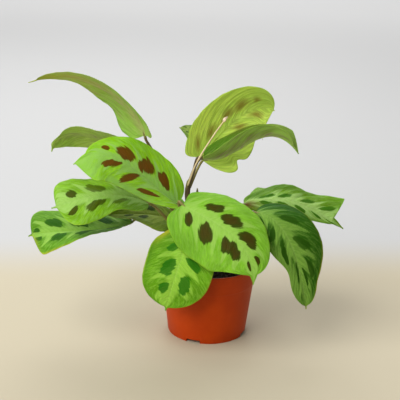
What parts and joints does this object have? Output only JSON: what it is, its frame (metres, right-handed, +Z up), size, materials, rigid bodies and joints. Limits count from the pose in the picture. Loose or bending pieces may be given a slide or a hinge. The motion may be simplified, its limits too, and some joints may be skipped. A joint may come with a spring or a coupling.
{
  "type": "potted prayer plant",
  "caption": "Small prayer plant: broad oval blotched leaf blades on arching stalks that rise from the mix in a tapered round nursery pot with a rim band.",
  "frame": {"origin": "centre of the pot's base, on the surface that the pot stands on", "axes": "+Z up, -Y towards the front, +X to the right as seen from the front"},
  "size_m": [0.3285, 0.1702, 0.2687],
  "materials": {
    "pot_plastic": "soft sheen, moulded orange-brown",
    "potting_mix": "moist dark crumbs and fibres",
    "leaf_stalks": "smooth, golden brown to purple brown, green where young",
    "dry_flower_stalk": "dry and pale",
    "young_leaf": "satin, bright green with reddish-brown blotches",
    "grown_leaf": "satin, green with dark green blotches"
  },
  "bodies": {
    "root": {"pot": "pot_plastic", "potting_mix": "potting_mix", "shoot_centre": "leaf_stalks", "shoot_left": "leaf_stalks", "shoot_front": "leaf_stalks", "shoot_right": "leaf_stalks", "shoot_rear": "leaf_stalks", "flower_stalk": "dry_flower_stalk", "leaf_front_centre": "young_leaf", "leaf_front_low": "grown_leaf", "leaf_left_big": "young_leaf", "leaf_left_middle": "young_leaf", "leaf_left_low": "grown_leaf", "leaf_left_under": "grown_leaf", "leaf_left_back": "grown_leaf", "leaf_top_left": "grown_leaf", "leaf_top_right": "young_leaf", "leaf_upper_right": "young_leaf", "leaf_rear_tall": "young_leaf", "leaf_right_upper": "grown_leaf", "leaf_right_hanging": "grown_leaf", "leaf_rear_low": "grown_leaf", "leaf_rear_left": "grown_leaf", "leaf_rear_right": "grown_leaf"}
  },
  "joints": []
}
